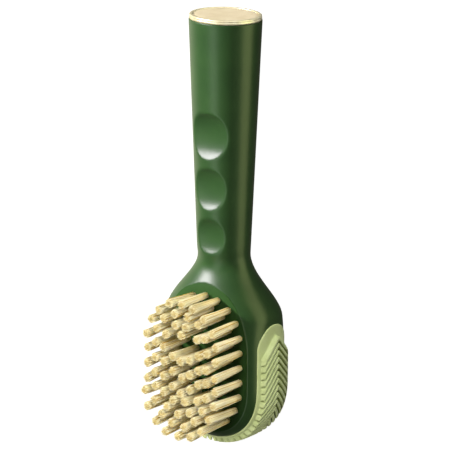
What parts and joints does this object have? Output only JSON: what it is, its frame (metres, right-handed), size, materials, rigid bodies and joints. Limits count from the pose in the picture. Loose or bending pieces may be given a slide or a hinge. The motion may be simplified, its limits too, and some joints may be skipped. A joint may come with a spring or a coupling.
{
  "type": "shoe brush",
  "caption": "Long-handled shoe brush with a finger-dimpled grip, an oval bristle head, a ribbed rubber side scrubber and a ringed end cap.",
  "frame": {"origin": "centre of the footprint, on the surface that the brush lies on, bristles up", "axes": "+X across the brush, +Y up the handle from the head to the cap, +Z out of the bristle side"},
  "size_m": [0.062, 0.2048, 0.0507],
  "materials": {
    "green_abs": "satin-gloss moulded ABS",
    "plate_green": "satin moulded ABS",
    "bristle": "semi-matte nylon filament",
    "sage_rubber": "matte moulded rubber",
    "plug_plastic": "moulded ABS",
    "metallised_gold": "pale gold metallised plastic",
    "cream_disc": "satin cream plastic"
  },
  "bodies": {
    "root": {"handle_shell": "green_abs", "tuft_plate": "plate_green", "bristle_ring_outer": "bristle", "bristle_ring_second": "bristle", "bristle_ring_third": "bristle", "bristle_ring_inner": "bristle", "bristle_centre_row": "bristle", "side_scrubber": "sage_rubber", "cap_plug": "plug_plastic", "cap_ring": "metallised_gold", "cap_disc": "cream_disc"}
  },
  "joints": []
}
